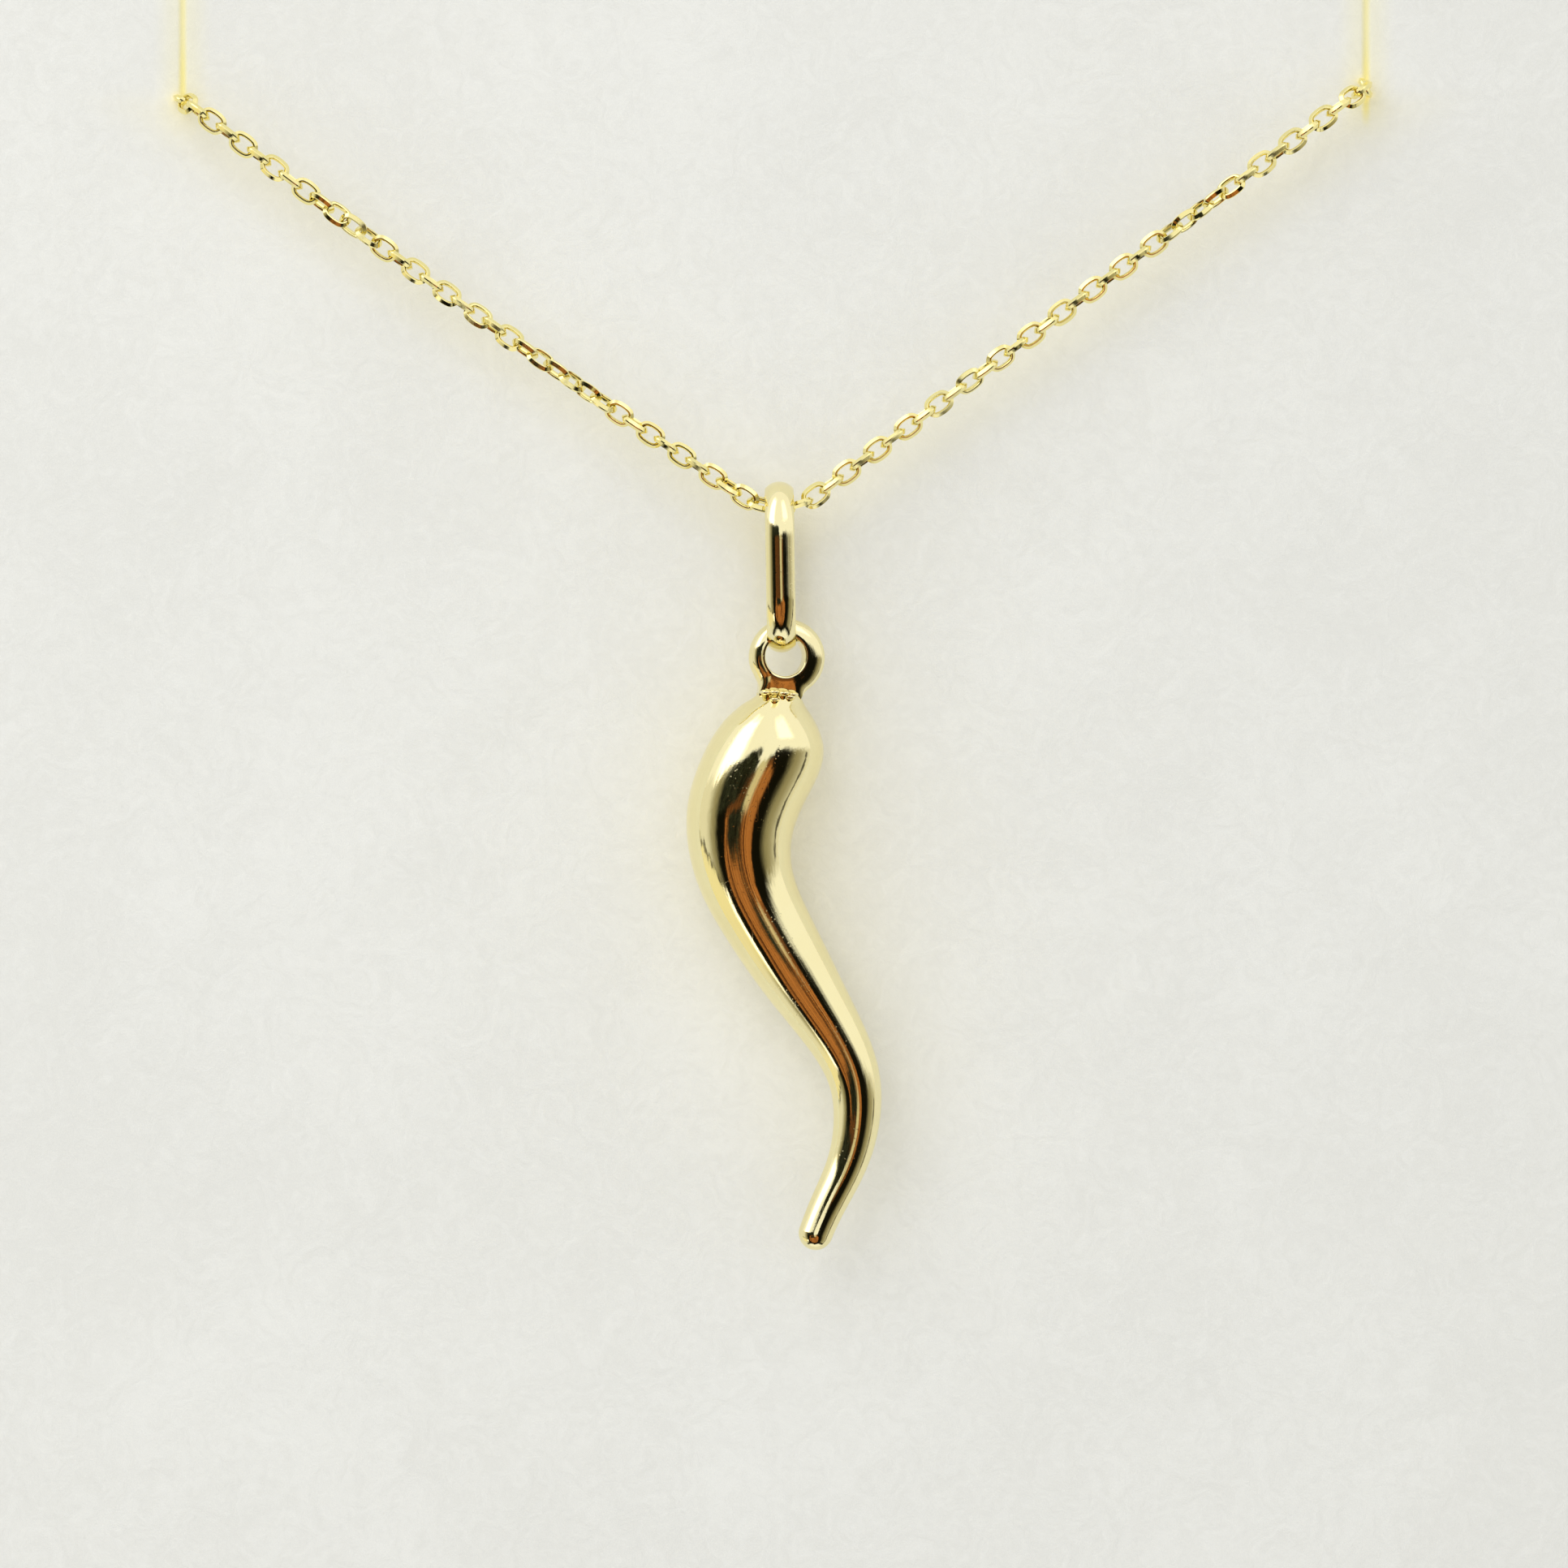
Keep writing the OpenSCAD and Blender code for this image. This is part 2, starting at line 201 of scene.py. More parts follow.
# The tent's lower edge on the left, a bright slope with a dark seam, and a seam far on the right
line = calc(tree, "ADD", rise, calc(tree, "MULTIPLY", turn, 0.484))
below_line = calc(tree, "MULTIPLY", ramp(tree, line, -52.0, -53.5), ramp(tree, turn, -48.0, -51.0))
below_line = calc(tree, "MULTIPLY", below_line, ramp(tree, rise, -42.0, -32.0))
slope = blend_colours(tree, ramp(tree, turn, -52.0, -59.0), white, straw)
room = blend_colours(tree, below_line, room, slope)
seam = calc(tree, "MULTIPLY", band(tree, line, -54.0, -52.5, -51.5, -50.0), ramp(tree, turn, -52.0, -56.0))
seam = calc(tree, "MAXIMUM", seam, calc(tree, "MULTIPLY", band(tree, turn, 80.0, 82.0, 85.0, 87.0),
                                        ramp(tree, rise, 1.0, -4.0)))
room = blend_colours(tree, calc(tree, "MULTIPLY", seam, 0.85), room, black)
# The tent's upper edge, which hangs lower on the right, with a gap of light below it
gap = calc(tree, "MULTIPLY", band(tree, turn, -4.0, 0.0, 7.0, 13.0),
           band(tree, rise, -10.0, -5.0, 8.0, 12.0))
room = blend_colours(tree, calc(tree, "MULTIPLY", gap, 0.65), room, straw)
top = calc(tree, "MULTIPLY", band(tree, turn, -8.0, -3.0, 16.0, 22.0), 14.0)
top = calc(tree, "ADD", top, calc(tree, "MULTIPLY", ramp(tree, turn, 17.0, 24.0), 13.0))
top = calc(tree, "ADD", top, calc(tree, "MULTIPLY", ramp(tree, turn, 34.0, 52.0), 6.0))
above = calc(tree, "ADD", calc(tree, "SUBTRACT", rise, 17.0), top)
softness = calc(tree, "ADD", 3.0, calc(tree, "MULTIPLY", ramp(tree, turn, 20.0, 50.0), 9.0))
low_side = calc(tree, "MULTIPLY", calc(tree, "MINIMUM", calc(tree, "ABSOLUTE", turn), 40.0), 0.3)
below = ramp(tree, calc(tree, "SUBTRACT", rise, low_side), -66.0, -76.0)
lit = calc(tree, "MAXIMUM", ramp(tree, above, 0.0, softness), below)
seen = blend_colours(tree, lit, room, pale)
# Two brighter panels: a window high on the left and a fainter one on the right
window = calc(tree, "MULTIPLY", band(tree, turn, -80.0, -68.0, -44.0, -32.0),
              band(tree, rise, 16.0, 22.0, 60.0, 74.0))
door = calc(tree, "MULTIPLY", band(tree, turn, 18.0, 26.0, 52.0, 62.0),
            band(tree, rise, 24.0, 32.0, 60.0, 70.0))
door = calc(tree, "MULTIPLY", door, 0.45)
seen = blend_colours(tree, calc(tree, "MAXIMUM", window, door), seen, white)
# Light that the gold throws on the card comes from the bright tent
bounced = calc(tree, "MINIMUM", add_node(tree, "ShaderNodeLightPath").outputs["Diffuse Depth"], 1.0)
seen = blend_colours(tree, bounced, seen, glare)
glow = add_node(tree, "ShaderNodeEmission", {"Color": seen, "Strength": 1.0})
tree.links.new(glow.outputs[0], add_node(tree, "ShaderNodeOutputMaterial").inputs["Surface"])
tent.data.materials.append(tent_light)

# Card: a jeweller's display card of 3 mm board, flocked white on both faces and round its cut
# edges. Two straight slits are cut down from its top edge, and the chain has opened each a little.
# Lengths are in millimetres from the middle of the top edge.
mm = 0.001
card_w, card_h, card_t, card_corner = 105.0, 180.0, 3.0, 3.0
columns_wide, rows_high, rows_at_slits, slit_rows = 121, 241, 50, (11.0, 15.0)
slit_x, chain_gate_z = 29.25, (-12.85, -12.2)
slit_deep, slit_soft, gate_deep, gate_soft, edge_roll = 0.1, 0.15, 0.16, 0.3, 0.35
nap_depth, half_w = 0.02, card_w / 2
# Columns and rows of corners: even, with more at the rolled edges and beside the slits
roll_in = edge_roll * (1 - np.cos(np.linspace(0, np.pi / 2, 6)))
lip = np.array([0.05, 0.12, 0.19, 0.27, 0.36, 0.47, 0.6, 0.8])
columns = np.unique(np.round(np.concatenate([np.linspace(-half_w, half_w, columns_wide), roll_in - half_w,
                                             half_w - roll_in]), 5))
columns = columns[np.abs(np.abs(columns) - slit_x) > 0.95]
lips = np.concatenate([-lip, [0.0], lip])
columns = np.sort(np.concatenate([columns, slit_x + lips, lips - slit_x]))
rows = np.concatenate([np.linspace(0, card_h, rows_high), np.linspace(*slit_rows, rows_at_slits), roll_in,
                       card_h - roll_in])
rows = -np.unique(np.round(rows, 5))
x, z = np.meshgrid(columns, rows)
from_slit = x - np.where(x < 0, -slit_x, slit_x)
above_gate = z - np.where(x < 0, chain_gate_z[0], chain_gate_z[1])
# The rounded corners, the rolled edge, and what the chain has pressed in at the slits
in_corner = np.clip(card_corner - np.minimum(-z, card_h + z), 0, card_corner)
corner_in = card_corner - np.sqrt(card_corner ** 2 - in_corner ** 2)
placed_x = x - np.sign(x) * corner_in * np.clip((np.abs(x) - 40.0) / (half_w - 40.0), 0, 1)
edge = np.minimum(np.minimum(-z, card_h + z), half_w - np.abs(x))
rolled = edge_roll - np.sqrt(edge_roll ** 2 - np.clip(edge_roll - edge, 0, edge_roll) ** 2)
crease = slit_deep * np.exp(-(from_slit / slit_soft) ** 2)
crease = crease / (1 + np.exp(-np.clip(above_gate / 0.12, -30, 30)))
gate = gate_deep * np.exp(-(np.hypot(from_slit, above_gate * 0.8) / gate_soft) ** 2)
nap = nap_depth * (np.sin(0.9 * x + 1.3 * np.sin(0.5 * z)) + np.sin(1.1 * z + 1.7 * np.sin(0.43 * x + 2)))
sunk = rolled + np.maximum(crease, gate) + nap * np.clip(edge / edge_roll - 1, 0, 1)
front = np.stack([placed_x, sunk, z], -1).reshape(-1, 3)
back = np.stack([placed_x, card_t - sunk, z], -1).reshape(-1, 3)
number = np.arange(x.size).reshape(x.shape)
faces = np.stack([number[:-1, :-1], number[1:, :-1], number[1:, 1:], number[:-1, 1:]], -1).reshape(-1, 4)
rim = np.concatenate([number[0, :-1], number[:-1, -1], number[-1, :0:-1], number[:0:-1, 0]])
walls = np.stack([rim, np.roll(rim, -1), np.roll(rim, -1) + x.size, rim + x.size], -1)
quads = np.concatenate([faces, faces[:, ::-1] + x.size, walls])


def make_piece(name, points, faces, body, stands_for, sharp=180.0):
    """Mesh piece from points in millimetres and lists of corner numbers, with its faces turned outwards,
    smooth but for edges sharper than an angle, riding on a body and standing for CAD nodes."""
    mesh = bpy.data.meshes.new(name)
    mesh.from_pydata((np.asarray(points) * mm).tolist(), [], [list(f) for f in faces])
    work = bmesh.new()
    work.from_mesh(mesh)
    loose = [v for v in work.verts if not v.link_faces]
    bmesh.ops.delete(work, geom=loose, context="VERTS")
    bmesh.ops.recalc_face_normals(work, faces=work.faces)
    work.to_mesh(mesh)
    work.free()
    mesh.polygons.foreach_set("use_smooth", [True] * len(mesh.polygons))
    if sharp < 180.0:
        mesh.set_sharp_from_angle(angle=math.radians(sharp))
    piece = bpy.data.objects.new(name, mesh)
    scene.collection.objects.link(piece)
    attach(piece, body)
    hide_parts(*stands_for)
    return piece


card = make_piece("flocked_card", np.concatenate([front, back]), quads, "card", ["card"], 50.0)

# Flock: matt white fibres that lie in wisps, with painted yellow light from the gold beside and inside
# the slits and under the strands, on the front only
flock = bpy.data.materials.new("white_flock")
flock.use_nodes = True
tree = flock.node_tree
cloth = tree.nodes["Principled BSDF"]
place = add_node(tree, "ShaderNodeTexCoord").outputs["Object"]
drift = add_node(tree, "ShaderNodeTexNoise", {"Vector": place, "Scale": 260.0, "Detail": 3.0}).outputs[1]
bent = add_node(tree, "ShaderNodeMix", {0: 0.012, 4: place, 5: drift}, data_type="VECTOR").outputs[1]
wisps = add_node(tree, "ShaderNodeTexNoise",
                 {"Vector": bent, "Scale": 900.0, "Detail": 6.0, "Roughness": 0.62}).outputs[0]
clouds = add_node(tree, "ShaderNodeTexNoise", {"Vector": place, "Scale": 70.0, "Detail": 2.0}).outputs[0]
fibres = add_node(tree, "ShaderNodeTexNoise",
                  {"Vector": place, "Scale": 9000.0, "Detail": 3.0, "Roughness": 0.7}).outputs[0]
tone = calc(tree, "ADD", calc(tree, "MULTIPLY", wisps, 0.6), calc(tree, "MULTIPLY", clouds, 0.4))
pale = blend_colours(tree, ramp(tree, tone, 0.35, 0.68), (0.79, 0.79, 0.765, 1), (0.84, 0.842, 0.82, 1))
split = add_node(tree, "ShaderNodeSeparateXYZ", {0: place}).outputs
on_front = ramp(tree, split[1], 0.002, 0.001)
beside_slit = calc(tree, "ABSOLUTE", calc(tree, "SUBTRACT", calc(tree, "ABSOLUTE", split[0]), slit_x * mm))
lower_by = calc(tree, "MULTIPLY", calc(tree, "GREATER_THAN", split[0], 0.0), 0.0007)
along_slit = ramp(tree, calc(tree, "ADD", split[2], lower_by), -0.0136, -0.0124)
# Painted light: a yellow band on the flock just under each strand, where the gold chain would throw light
strand_z = calc(tree, "MULTIPLY_ADD", calc(tree, "ABSOLUTE", split[0]), 0.705, -0.0334)
under = calc(tree, "SUBTRACT", strand_z, split[2])
glow = calc(tree, "MULTIPLY", band(tree, under, -0.0008, 0.0008, 0.0010, 0.0045),
            ramp(tree, split[2], -0.0120, -0.0135))
glow = calc(tree, "MULTIPLY", glow, on_front)
pale = blend_colours(tree, calc(tree, "MULTIPLY", glow, 0.16), pale, (0.92, 0.85, 0.52, 1))
# Painted light inside each slit: yellow from the gold chain, stronger lower down towards where the chain
# goes in
nearer = calc(tree, "ADD", 0.72, calc(tree, "MULTIPLY", ramp(tree, split[2], -0.0095, -0.0115), 0.28))
painted_slit_light = calc(tree, "MULTIPLY", ramp(tree, beside_slit, 0.00029, 0.00002), along_slit)
painted_slit_light = calc(tree, "MULTIPLY", painted_slit_light, on_front)
# Painted light: a yellow halo on the flock beside each slit, for light from the gold chain
painted_slit_halo = calc(tree, "MULTIPLY", ramp(tree, beside_slit, 0.0016, 0.0002),
            ramp(tree, split[2], -0.0152, -0.0126))
painted_slit_halo = calc(tree, "MULTIPLY", calc(tree, "MULTIPLY", painted_slit_halo, on_front), 0.3)
pale = blend_colours(tree, painted_slit_halo, pale, (0.90, 0.84, 0.45, 1))
pale = blend_colours(tree, calc(tree, "MULTIPLY", painted_slit_light, nearer), pale, (0.88, 0.80, 0.36, 1))
tree.links.new(pale, cloth.inputs["Base Color"])
cloth.inputs["Roughness"].default_value = 0.95
cloth.inputs["Specular IOR Level"].default_value = 0.15
cloth.inputs["Sheen Weight"].default_value = 0.25
cloth.inputs["Sheen Roughness"].default_value = 0.6
relief = calc(tree, "ADD", calc(tree, "MULTIPLY", wisps, 0.8), calc(tree, "MULTIPLY", fibres, 0.35))
bump = add_node(tree, "ShaderNodeBump", {"Height": relief, "Strength": 0.35, "Distance": 0.00016})
tree.links.new(bump.outputs[0], cloth.inputs["Normal"])
card.data.materials.append(flock)

# Gold: yellow gold, polished on felt wheels until it mirrors the room, with the haze, the hair
# scratches and the orange-peel of handled metal. The chain's is hazier and stronger in colour.
polish = bpy.data.node_groups.new("handled_polish", "ShaderNodeTree")
for name in ("Haze", "Ripple"):
    polish.interface.new_socket(name, in_out="INPUT", socket_type="NodeSocketFloat")
for name in ("Roughness", "Height", "Tone"):
    polish.interface.new_socket(name, in_out="OUTPUT", socket_type="NodeSocketFloat")
given = add_node(polish, "NodeGroupInput").outputs
place = add_node(polish, "ShaderNodeTexCoord").outputs["Object"]
smears = add_node(polish, "ShaderNodeTexNoise", {"Vector": place, "Scale": 420.0, "Detail": 3.0}).outputs[0]
peel = add_node(polish, "ShaderNodeTexNoise", {"Vector": place, "Scale": 1500.0, "Detail": 2.0}).outputs[0]
grit = add_node(polish, "ShaderNodeTexNoise",
                {"Vector": place, "Scale": 14000.0, "Detail": 2.0, "Roughness": 0.7}).outputs[0]
pits = add_node(polish, "ShaderNodeTexVoronoi", {"Vector": place, "Scale": 5200.0}).outputs[0]
pits = calc(polish, "MULTIPLY", ramp(polish, pits, 0.22, 0.08), ramp(polish, smears, 0.50, 0.58))
drawn = add_node(polish, "ShaderNodeMapping", {"Vector": place, "Rotation": (0.3, 0.5, 0.2),
                                               "Scale": (9000.0, 700.0, 500.0)}).outputs[0]
hairs = add_node(polish, "ShaderNodeTexNoise", {"Vector": drawn, "Scale": 1.0, "Detail": 2.0}).outputs[0]
hairs = ramp(polish, hairs, 0.66, 0.72)
hazy = calc(polish, "MULTIPLY", ramp(polish, smears, 0.35, 0.75), given["Haze"])
hazy = calc(polish, "ADD", calc(polish, "ADD", hazy, 0.045), calc(polish, "MULTIPLY", hairs, 0.05))
height = calc(polish, "ADD", calc(polish, "MULTIPLY", peel, given["Ripple"]),
              calc(polish, "MULTIPLY", grit, 0.16))
height = calc(polish, "SUBTRACT", height, calc(polish, "MULTIPLY", hairs, 0.09))
height = calc(polish, "ADD", height, calc(polish, "MULTIPLY", pits, 0.45))
put = add_node(polish, "NodeGroupOutput")
polish.links.new(hazy, put.inputs["Roughness"])
polish.links.new(height, put.inputs["Height"])
polish.links.new(smears, put.inputs["Tone"])


def gold(name, haze, ripple, deep, bright):
    """Polished gold with its own haze, ripple and two tones."""
    made = bpy.data.materials.new(name)
    made.use_nodes = True
    tree = made.node_tree
    metal = tree.nodes["Principled BSDF"]
    metal.inputs["Metallic"].default_value = 1.0
    worn = tree.nodes.new("ShaderNodeGroup")
    worn.node_tree = polish
    worn.inputs["Haze"].default_value = haze
    worn.inputs["Ripple"].default_value = ripple
    tree.links.new(worn.outputs["Roughness"], metal.inputs["Roughness"])
    bump = add_node(tree, "ShaderNodeBump", {"Height": worn.outputs["Height"], "Strength": 0.25,
                                             "Distance": 0.00002})
    tree.links.new(bump.outputs[0], metal.inputs["Normal"])
    tree.links.new(blend_colours(tree, worn.outputs["Tone"], deep, bright), metal.inputs["Base Color"])
    return made


pendant_gold = gold("polished_gold", 0.05, 0.5, (0.925, 0.83, 0.46, 1), (0.96, 0.885, 0.54, 1))
chain_gold = gold("cut_chain_gold", 0.3, 0.3, (0.94, 0.82, 0.33, 1), (0.97, 0.89, 0.46, 1))

# Chain: a fine diamond-cut cable chain of oval links, each bent from wire, closed by solder and cut
# with bright flats on its outer sides. It runs through the bail, over the card's front, in at each
# slit, and hangs in a plain U behind the card with its two ends on the clasp.
slit_span, link_pitch, link_w, link_wire = 58.5, 0.945, 1.14, 0.25
chain_len, chain_stand, chain_drop, hang_side, pendant_y = 406.0, 2.0, 33.0, 0.3, -2.85
chain_back_y, back_bend, clasp_d, clasp_wire = 3.955, 0.8, 5.0, 0.9
link_long, strand_sag = link_pitch + 2 * link_wire + 0.08, {-1: 0.38, 1: 0.0}


def unit(v):
    """Vectors along the last axis, at length 1."""
    return v / np.linalg.norm(v, axis=-1, keepdims=True)


def corner(before, at, after, reach, count=24):
    """Arc that leaves the line before-at a reach before the corner and joins at-after a reach past it."""
    ahead, on = unit(at - before), unit(after - at)
    angle = math.acos(float(ahead @ on))
    radius = reach / math.tan(angle / 2)
    inward = unit(on - (on @ ahead) * ahead)
    t = np.linspace(0, angle, count)[:, None]
    return at - reach * ahead + radius * (np.sin(t) * ahead + (1 - np.cos(t)) * inward)


def hanging(sign, drop, lift):
    """Half of a catenary from a slit to the clasp: height sag*cosh(x/sag), in even steps of its length."""
    half = back_len / 2 + lift
    full = np.arcsinh(half / sag)
    s = np.linspace(half, 0, 1600)
    across = sign * slit_span / 2 * np.arcsinh(s / sag) / full
    down = -drop - (math.hypot(half, sag) - np.hypot(s, sag))
    return np.stack([across, np.full_like(s, chain_back_y), down], -1)


def walk(path, step):
    """Points every step along a path of points, from its start."""
    gone = np.concatenate([[0], np.cumsum(np.linalg.norm(np.diff(path, axis=0), axis=1))])
    at = np.arange(0.0, gone[-1], step)
    return np.stack([np.interp(at, gone, path[:, k]) for k in range(3)], -1)


half_link = link_pitch / 2
front_links = {-1: 41, 1: 41}
front_len = link_pitch * (front_links[-1] + front_links[1] + 1)
back_len = chain_len - front_len
low, high = 0.1, 20.0
for halving in range(40):
    guess = (low + high) / 2
    low, high = (guess, high) if math.sinh(guess) / guess < back_len / slit_span else (low, guess)
sag = slit_span / 2 / guess
hooks, upright = {}, {}
for sign, drop, lift in ((-1, 12.85, -0.325), (1, 12.2, 0.325)):
    start = np.array([hang_side + sign * half_link, pendant_y, -chain_drop])
    mouth = np.array([sign * slit_span / 2, -chain_stand, -drop])
    behind = np.array([sign * slit_span / 2, chain_back_y, -drop])
    level = np.array([sign, 0.0, 0.0])
    first = start + link_pitch * unit(unit(mouth - start) + level)
    low_side = hanging(sign, drop, lift)
    turn_in = corner(first, mouth, behind, chain_stand)
    turn_down = corner(turn_in[-1], behind, low_side[40], back_bend)
    path = np.concatenate([[start, first], turn_in, turn_down,
                           low_side[np.linalg.norm(low_side - behind, axis=1) > back_bend]])
    hooks[sign] = walk(path, link_pitch)
    t = np.clip((sign * hooks[sign][:, 0] - 0.3) / (slit_span / 2 - 1.5), 0, 1)
    hooks[sign][:, 2] -= 4 * strand_sag[sign] * t * (1 - t) * (hooks[sign][:, 1] < 0)
    d = unit(turn_in[0] - first)
    upright[sign] = unit(np.cross(d, [0.0, np.sign(d[0]), 0.0]))


def grid_faces(rings, sides, closed):
    """Quads between rings of points that close round; the last ring joins the first if closed."""
    r = np.arange(rings if closed else rings - 1)[:, None]
    c = np.arange(sides)[None, :]
    n, m = (r + 1) % rings, (c + 1) % sides
    return np.stack([r * sides + c, r * sides + m, n * sides + m, n * sides + c], -1).reshape(-1, 4)


# Half of the wire's section: how far out of the middle of the wire, and how far towards a flat side
wire_out = np.array([0.155, 0.02, -0.035, -0.075, -0.1])
wire_up = np.array([0.03, 0.17, 0.17, 0.13, 0.06])


def links(begin, end, roll, up, rings, out, side):
    """Oval links from hook begin to hook end: two half circles and two straights, with a wire section
    given by its distances out of the middle of the wire and towards the link's flat side."""
    along = unit(end - begin)[:, None, None]
    square = unit(np.cross(along, up[:, None, None]))
    up = np.cross(square, along)
    roll = np.radians(roll)[:, None, None, None]
    wide = np.cos(roll) * up + np.sin(roll) * square
    flat = np.cross(along, wide)
    u = np.linspace(0, 2 * np.pi, rings, endpoint=False)[:, None]
    bend = link_w / 2 - out.max()
    straight = link_long / 2 - out.max() - bend
    r = bend + out[None, :]
    a = straight * np.clip(np.cos(u) * 2.2, -1, 1) + r * np.cos(u)
    w = r * np.sin(u)
    f = side[None, :] * np.ones_like(w)
    middle = ((begin + end) / 2)[:, None, None]
    return middle + along * a[..., None] + wide * w[..., None] + flat * f[..., None]


def link_piece(name, begin, end, roll, up, rings, corners, stands_for):
    """Piece of many links, one closed ring of wire each, for a CAD node; corners says which of the half
    section's corners are used."""
    out, side = wire_out[corners], wire_up[corners]
    out, side = np.concatenate([out, out[::-1]]), np.concatenate([side, -side[::-1]])
    points = links(begin, end, roll, up, rings, out, side)
    one = grid_faces(rings, len(out), True)
    faces = (one[None] + np.arange(len(points))[:, None, None] * rings * len(out)).reshape(-1, 4)
    return make_piece(name, points.reshape(-1, 3), faces, "card", stands_for, 36.0)


# How far each strand is twisted, in degrees, at shares of its length from the bail to the slit
twist = {-1: ([0, 0.05, 0.1, 0.2, 0.27, 0.34, 0.42, 0.6, 0.64, 0.68, 0.73, 1],
              [40, 25, 5, 0, 35, 50, 75, 90, 125, 145, 180, 180]),
         1: ([0, 0.26, 0.3, 0.36, 0.56, 0.61, 0.68, 0.74, 1], [0, 5, 25, 5, 0, 30, 50, 85, 90])}
begin, end, roll, up = [hooks[-1][:1]], [hooks[1][:1]], [np.array([10.0])], [np.array([[0, 0, 1.0]])]
for sign in (-1, 1):
    n = front_links[sign]
    nearer, farther = hooks[sign][:n], hooks[sign][1:n + 1]
    begin.append(farther if sign < 0 else nearer)
    end.append(nearer if sign < 0 else farther)
    k = np.arange(1, n + 1)
    loose_roll = 9.0 * np.sin(2.3 * k + 1.1 * np.sin(0.9 * k))
    roll.append(90.0 * (k % 2) + np.interp(k / n, *twist[sign]) + loose_roll)
    up.append(np.repeat(upright[sign][None], n, 0))
begin, end, roll, up = [np.concatenate(part) for part in (begin, end, roll, up)]
chain_front = link_piece("chain_front_links", begin, end, roll, up, 44, [0, 1, 2, 3, 4], ["chain_front"])
chain_front.data.materials.append(chain_gold)
# The links behind the card are plainer, because there are hundreds of them
for sign, side_name in ((-1, "left"), (1, "right")):
    nearer, farther = hooks[sign][front_links[sign]:-3], hooks[sign][front_links[sign] + 1:-2]
    n = len(nearer)
    d = unit(farther - nearer)
    up = np.cross(d, [0.0, 1.0, 0.0])
    up = np.where(np.linalg.norm(up, axis=1, keepdims=True) < 0.3, [1.0, 0.0, 0.0], up)
    k = np.arange(n)
    chain_back = link_piece("chain_back_links_" + side_name, nearer, farther, 90.0 * (k % 2) + 20, up, 14,
                            [1, 3], ["chain_back"])
    chain_back.data.materials.append(chain_gold)

# Clasp: one plain ring of round gold wire that closes the chain behind the card. The last link of
# each side hangs on it.
clasp_z = hanging(1, 12.2, 0.325)[-1][2]
u = np.linspace(0, 2 * np.pi, 72, endpoint=False)[:, None]
v = np.linspace(0, 2 * np.pi, 20, endpoint=False)[None, :]
r = (clasp_d - clasp_wire) / 2 + clasp_wire / 2 * np.cos(v)
ring = np.stack([r * np.cos(u), chain_back_y + clasp_wire / 2 * np.sin(v) * np.ones_like(u),
                 clasp_z + r * np.sin(u)], -1)
clasp = make_piece("clasp_ring", ring.reshape(-1, 3), grid_faces(72, 20, True), "card", ["clasp"])
clasp.data.materials.append(chain_gold)

# Bail: an oblong ring of half-round gold wire, domed outside and flat inside, bent, soldered at
# the top and polished. It slides on the chain and is seen edge on.
bail_h, bail_d, bail_w, bail_t = 8.43, 4.6, 1.44, 0.6
bail_end, bail_top_z, dome_radius, bail_lean, bail_nod = 2.75, -31.74, 0.9, 0.9, 0.5


def oblong(half_deep, half_high, end_high):
    """Points and outward directions round an oblong of two straights and two half ellipses, from low on
    its front, up, over and down the back."""
    straight = half_high - end_high
    climb, swing = np.linspace(-straight, straight, 30)[:-1], np.linspace(0, np.pi, 91)[:-1]
    c, s, still = np.cos(swing), np.sin(swing), np.ones_like(climb)
    size = np.hypot(end_high * c, half_deep * s)
    y = np.concatenate([-half_deep * still, -half_deep * c, half_deep * still, half_deep * c])
    z = np.concatenate([climb, straight + end_high * s, -climb, -straight - end_high * s])
    out_y = np.concatenate([-still, -end_high * c / size, still, end_high * c / size])
    out_z = np.concatenate([0 * still, half_deep * s / size, 0 * still, -half_deep * s / size])
    return y, z, out_y, out_z


y, z, out_y, out_z = oblong((bail_d - bail_t) / 2, (bail_h - bail_t) / 2, bail_end - bail_t / 2)
half_angle = math.asin(bail_w / 2 / dome_radius) * 0.93
arc = np.linspace(-half_angle, half_angle, 21)
dome = np.stack([dome_radius * np.sin(arc), bail_t / 2 - dome_radius * (1 - np.cos(arc))], -1)
low_edge = dome[-1, 1]
flank = np.array([[0.715, low_edge - 0.05], [0.705, low_edge - 0.11], [0.65, low_edge - 0.17],
                  [0.55, -0.25], [0.42, -0.285], [0.25, -0.3]])
section = np.concatenate([dome, flank, [[0, -0.3]], flank[::-1] * [-1, 1]])
lean = math.radians(bail_lean)
off_x = section[:, 0][None, :] * np.ones_like(y)[:, None]
off_n = section[:, 1][None, :]
bail_y = y[:, None] + out_y[:, None] * off_n
bail_z = z[:, None] + out_z[:, None] * off_n
bail_y = bail_y - bail_z * math.tan(math.radians(bail_nod))
bail_points = np.stack([hang_side + off_x * math.cos(lean) - bail_z * math.sin(lean), pendant_y + bail_y,
                        bail_top_z - bail_h / 2 + bail_z * math.cos(lean) + off_x * math.sin(lean)], -1)
bail = make_piece("polished_bail", bail_points.reshape(-1, 3), grid_faces(len(y), len(section), True),
                  "bail", ["bail"], 60.0)
bail.data.materials.append(pendant_gold)

# Horn: cast solid in gold with its loop, which is soldered on to a short neck, then polished.
# The body is one smooth twist from a blunt shoulder to a rounded tip.
loop_x, loop_z, loop_in, loop_deep, loop_yaw = 0.455, -40.344, 1.0, 1.4, 9.0
rim_off_x, rim_off_z, fillet = 0.15, -0.056, 0.07
dome_power, neck_dome, neck_turn = 0.65, 0.3, 0.15
bead_x, bead_z, bead_half_w, bead_half_d, bead_wire = 0.25, -42.2, 0.98, 0.72, 0.15


